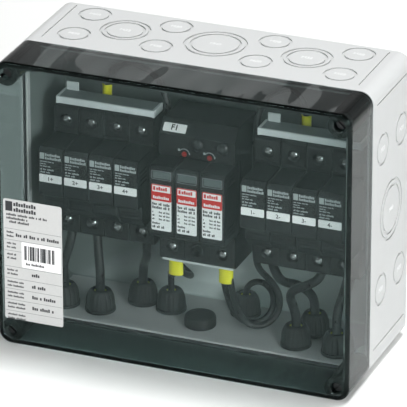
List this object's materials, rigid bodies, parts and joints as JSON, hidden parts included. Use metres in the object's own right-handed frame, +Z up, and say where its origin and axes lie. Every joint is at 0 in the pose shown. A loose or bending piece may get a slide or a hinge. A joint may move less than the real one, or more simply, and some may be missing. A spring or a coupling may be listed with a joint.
{
  "type": "dc combiner box",
  "caption": "Wall-mounted dc combiner box for solar strings: grey enclosure with smoked lift-off lid over hinged fuse holders and a surge arrester with pull-out plugs.",
  "frame": {"origin": "middle of the underside of the enclosure, in the plane it stands on", "axes": "+X along the width, to the right of someone facing the lid; +Y towards the wall, so the lid faces -Y; +Z up"},
  "size_m": [0.247, 0.1124, 0.202],
  "materials": {
    "enclosure_grey": "fine satin moulding",
    "smoked_lid": "clear smoked polycarbonate, polished",
    "gasket_foam": "foamed polyurethane",
    "screw_black": "glass-filled polyamide",
    "zinc_steel": "zinc plated",
    "housing_dark": "fine spark-eroded",
    "carrier_dark": "fine spark-eroded",
    "fuse_ceramic": "glazed tube with plated caps",
    "bar_grey": "moulded cover",
    "gland_black": "satin polyamide",
    "cable_black": "matt sheath"
  },
  "bodies": {
    "root": {"base_shell": "enclosure_grey", "lid_gasket": "gasket_foam", "din_rail": "zinc_steel", "rail_screw_1": "zinc_steel", "rail_screw_2": "zinc_steel", "comb_bar_pos": "bar_grey", "comb_bar_neg": "bar_grey", "spd_base": "housing_dark", "blanking_plug": "gland_black", "fuse_base_p1": "housing_dark", "fuse_base_n1": "housing_dark", "fuse_base_p2": "housing_dark", "fuse_base_n2": "housing_dark", "fuse_base_p3": "housing_dark", "fuse_base_n3": "housing_dark", "fuse_base_p4": "housing_dark", "fuse_base_n4": "housing_dark", "gland_p1": "gland_black", "gland_p2": "gland_black", "gland_p4": "gland_black", "gland_output_pos": "gland_black", "gland_output_neg": "gland_black", "gland_n1": "gland_black", "gland_n3": "gland_black", "gland_n4": "gland_black", "cable_p1": "cable_black", "cable_p2": "cable_black", "cable_p4": "cable_black", "cable_n1": "cable_black", "cable_n3": "cable_black", "cable_n4": "cable_black", "lead_pos_output": "cable_black", "lead_pos_link": "cable_black", "lead_neg_output": "cable_black", "lead_neg_link": "cable_black"},
    "lid": {"lid_shell": "smoked_lid"},
    "lid_screw_1": {"lid_screw_1": "screw_black"},
    "lid_screw_2": {"lid_screw_2": "screw_black"},
    "lid_screw_3": {"lid_screw_3": "screw_black"},
    "lid_screw_4": {"lid_screw_4": "screw_black"},
    "carrier_n1": {"fuse_carrier_n1": "carrier_dark", "fuse_link_n1": "fuse_ceramic"},
    "carrier_n2": {"fuse_carrier_n2": "carrier_dark", "fuse_link_n2": "fuse_ceramic"},
    "carrier_n3": {"fuse_carrier_n3": "carrier_dark", "fuse_link_n3": "fuse_ceramic"},
    "carrier_n4": {"fuse_carrier_n4": "carrier_dark", "fuse_link_n4": "fuse_ceramic"},
    "carrier_p1": {"fuse_carrier_p1": "carrier_dark", "fuse_link_p1": "fuse_ceramic"},
    "carrier_p2": {"fuse_carrier_p2": "carrier_dark", "fuse_link_p2": "fuse_ceramic"},
    "carrier_p3": {"fuse_carrier_p3": "carrier_dark", "fuse_link_p3": "fuse_ceramic"},
    "carrier_p4": {"fuse_carrier_p4": "carrier_dark", "fuse_link_p4": "fuse_ceramic"},
    "spd_plug_1": {"spd_plug_1": "carrier_dark"},
    "spd_plug_2": {"spd_plug_2": "carrier_dark"},
    "spd_plug_3": {"spd_plug_3": "carrier_dark"}
  },
  "joints": [
    {"name": "lid_lift_off", "type": "slide", "parent": "root", "child": "lid", "axis": [0, -1, 0], "range_m": [0, 0.08]},
    {"name": "lid_screw_1_turn", "type": "hinge", "parent": "lid", "child": "lid_screw_1", "pos_m": [-0.1149, -0.0513, 0.0086], "axis": [0, -1, 0], "continuous": true},
    {"name": "lid_screw_2_turn", "type": "hinge", "parent": "lid", "child": "lid_screw_2", "pos_m": [-0.1149, -0.0513, 0.1934], "axis": [0, -1, 0], "continuous": true},
    {"name": "lid_screw_3_turn", "type": "hinge", "parent": "lid", "child": "lid_screw_3", "pos_m": [0.1149, -0.0513, 0.0086], "axis": [0, -1, 0], "continuous": true},
    {"name": "lid_screw_4_turn", "type": "hinge", "parent": "lid", "child": "lid_screw_4", "pos_m": [0.1149, -0.0513, 0.1934], "axis": [0, -1, 0], "continuous": true},
    {"name": "carrier_n1_open", "type": "hinge", "parent": "root", "child": "carrier_n1", "pos_m": [0.0446, -0.002, 0.083], "axis": [1, 0, 0], "range_deg": [0, 45]},
    {"name": "carrier_n2_open", "type": "hinge", "parent": "root", "child": "carrier_n2", "pos_m": [0.0624, -0.002, 0.083], "axis": [1, 0, 0], "range_deg": [0, 45]},
    {"name": "carrier_n3_open", "type": "hinge", "parent": "root", "child": "carrier_n3", "pos_m": [0.0802, -0.002, 0.083], "axis": [1, 0, 0], "range_deg": [0, 45]},
    {"name": "carrier_n4_open", "type": "hinge", "parent": "root", "child": "carrier_n4", "pos_m": [0.098, -0.002, 0.083], "axis": [1, 0, 0], "range_deg": [0, 45]},
    {"name": "carrier_p1_open", "type": "hinge", "parent": "root", "child": "carrier_p1", "pos_m": [-0.098, -0.002, 0.083], "axis": [1, 0, 0], "range_deg": [0, 45]},
    {"name": "carrier_p2_open", "type": "hinge", "parent": "root", "child": "carrier_p2", "pos_m": [-0.0802, -0.002, 0.083], "axis": [1, 0, 0], "range_deg": [0, 45]},
    {"name": "carrier_p3_open", "type": "hinge", "parent": "root", "child": "carrier_p3", "pos_m": [-0.0624, -0.002, 0.083], "axis": [1, 0, 0], "range_deg": [0, 45]},
    {"name": "carrier_p4_open", "type": "hinge", "parent": "root", "child": "carrier_p4", "pos_m": [-0.0446, -0.002, 0.083], "axis": [1, 0, 0], "range_deg": [0, 45]},
    {"name": "spd_plug_1_pull", "type": "slide", "parent": "root", "child": "spd_plug_1", "axis": [0, -1, 0], "range_m": [0, 0.0275]},
    {"name": "spd_plug_2_pull", "type": "slide", "parent": "root", "child": "spd_plug_2", "axis": [0, -1, 0], "range_m": [0, 0.0275]},
    {"name": "spd_plug_3_pull", "type": "slide", "parent": "root", "child": "spd_plug_3", "axis": [0, -1, 0], "range_m": [0, 0.0275]}
  ]
}
